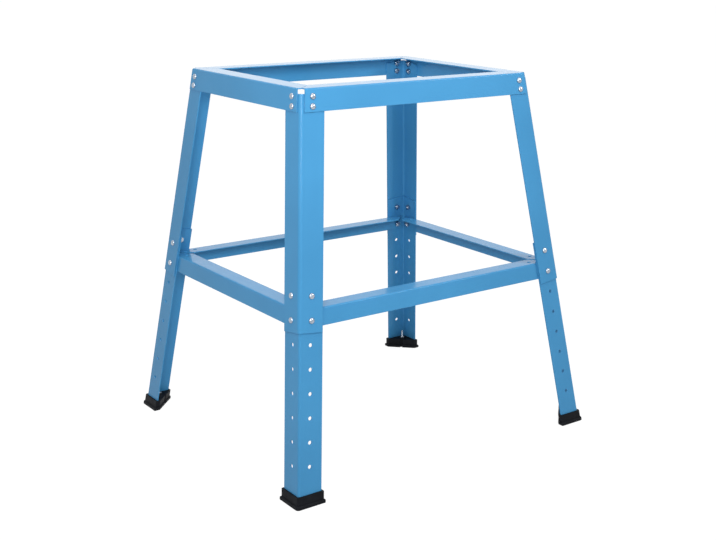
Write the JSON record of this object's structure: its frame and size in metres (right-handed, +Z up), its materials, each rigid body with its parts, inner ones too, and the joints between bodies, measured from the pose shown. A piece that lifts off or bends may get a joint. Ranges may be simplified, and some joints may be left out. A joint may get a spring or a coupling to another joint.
{
  "type": "bench grinder stand",
  "caption": "Splayed stand of folded blue sheet steel for a bench grinder, with nested legs that lengthen in steps, bolted top and lower rails and black rubber feet.",
  "frame": {"origin": "on the floor under the middle of the stand", "axes": "+X along the long front rail to the right, +Y to the rear, +Z up"},
  "size_m": [0.6496, 0.583, 0.666],
  "materials": {
    "paint": "satin powder coat",
    "zinc": "bright zinc",
    "rubber": "matt"
  },
  "bodies": {
    "frame": {"upper_leg_front_left": "paint", "upper_leg_front_right": "paint", "upper_leg_rear_left": "paint", "upper_leg_rear_right": "paint", "top_rail_front": "paint", "top_rail_rear": "paint", "top_rail_left": "paint", "top_rail_right": "paint", "lower_rail_front": "paint", "lower_rail_rear": "paint", "lower_rail_left": "paint", "lower_rail_right": "paint", "top_bolt_front_left_1": "zinc", "top_bolt_left_front_1": "zinc", "top_bolt_front_right_1": "zinc", "top_bolt_right_front_1": "zinc", "top_bolt_rear_left_1": "zinc", "top_bolt_left_rear_1": "zinc", "top_bolt_rear_right_1": "zinc", "top_bolt_right_rear_1": "zinc", "top_bolt_front_left_2": "zinc", "top_bolt_left_front_2": "zinc", "top_bolt_front_right_2": "zinc", "top_bolt_right_front_2": "zinc", "top_bolt_rear_left_2": "zinc", "top_bolt_left_rear_2": "zinc", "top_bolt_rear_right_2": "zinc", "top_bolt_right_rear_2": "zinc", "leg_bolt_front_left_1": "zinc", "leg_bolt_left_front_1": "zinc", "leg_bolt_front_right_1": "zinc", "leg_bolt_right_front_1": "zinc", "leg_bolt_rear_left_1": "zinc", "leg_bolt_left_rear_1": "zinc", "leg_bolt_rear_right_1": "zinc", "leg_bolt_right_rear_1": "zinc", "leg_bolt_front_left_2": "zinc", "leg_bolt_left_front_2": "zinc", "leg_bolt_front_right_2": "zinc", "leg_bolt_right_front_2": "zinc", "leg_bolt_rear_left_2": "zinc", "leg_bolt_left_rear_2": "zinc", "leg_bolt_rear_right_2": "zinc", "leg_bolt_right_rear_2": "zinc"},
    "front_left_extension": {"leg_extension_front_left": "paint", "foot_front_left": "rubber", "lock_nut_front_left": "zinc"},
    "front_left_screw": {"levelling_screw_front_left": "zinc"},
    "front_right_extension": {"leg_extension_front_right": "paint", "foot_front_right": "rubber", "lock_nut_front_right": "zinc"},
    "front_right_screw": {"levelling_screw_front_right": "zinc"},
    "rear_left_extension": {"leg_extension_rear_left": "paint", "foot_rear_left": "rubber", "lock_nut_rear_left": "zinc"},
    "rear_left_screw": {"levelling_screw_rear_left": "zinc"},
    "rear_right_extension": {"leg_extension_rear_right": "paint", "foot_rear_right": "rubber", "lock_nut_rear_right": "zinc"},
    "rear_right_screw": {"levelling_screw_rear_right": "zinc"}
  },
  "joints": [
    {"name": "front_left_leg_slide", "type": "slide", "parent": "frame", "child": "front_left_extension", "axis": [0.1205, 0.151, 0.9812], "range_m": [0, 0.24]},
    {"name": "front_right_leg_slide", "type": "slide", "parent": "frame", "child": "front_right_extension", "axis": [-0.1205, 0.151, 0.9812], "range_m": [0, 0.24]},
    {"name": "rear_left_leg_slide", "type": "slide", "parent": "frame", "child": "rear_left_extension", "axis": [0.1205, -0.151, 0.9812], "range_m": [0, 0.24]},
    {"name": "rear_right_leg_slide", "type": "slide", "parent": "frame", "child": "rear_right_extension", "axis": [-0.1205, -0.151, 0.9812], "range_m": [0, 0.24]},
    {"name": "front_left_levelling", "type": "slide", "parent": "front_left_extension", "child": "front_left_screw", "axis": [0, 0, -1], "range_m": [0, 0.01]},
    {"name": "front_right_levelling", "type": "slide", "parent": "front_right_extension", "child": "front_right_screw", "axis": [0, 0, -1], "range_m": [0, 0.01]},
    {"name": "rear_left_levelling", "type": "slide", "parent": "rear_left_extension", "child": "rear_left_screw", "axis": [0, 0, -1], "range_m": [0, 0.01]},
    {"name": "rear_right_levelling", "type": "slide", "parent": "rear_right_extension", "child": "rear_right_screw", "axis": [0, 0, -1], "range_m": [0, 0.01]}
  ]
}
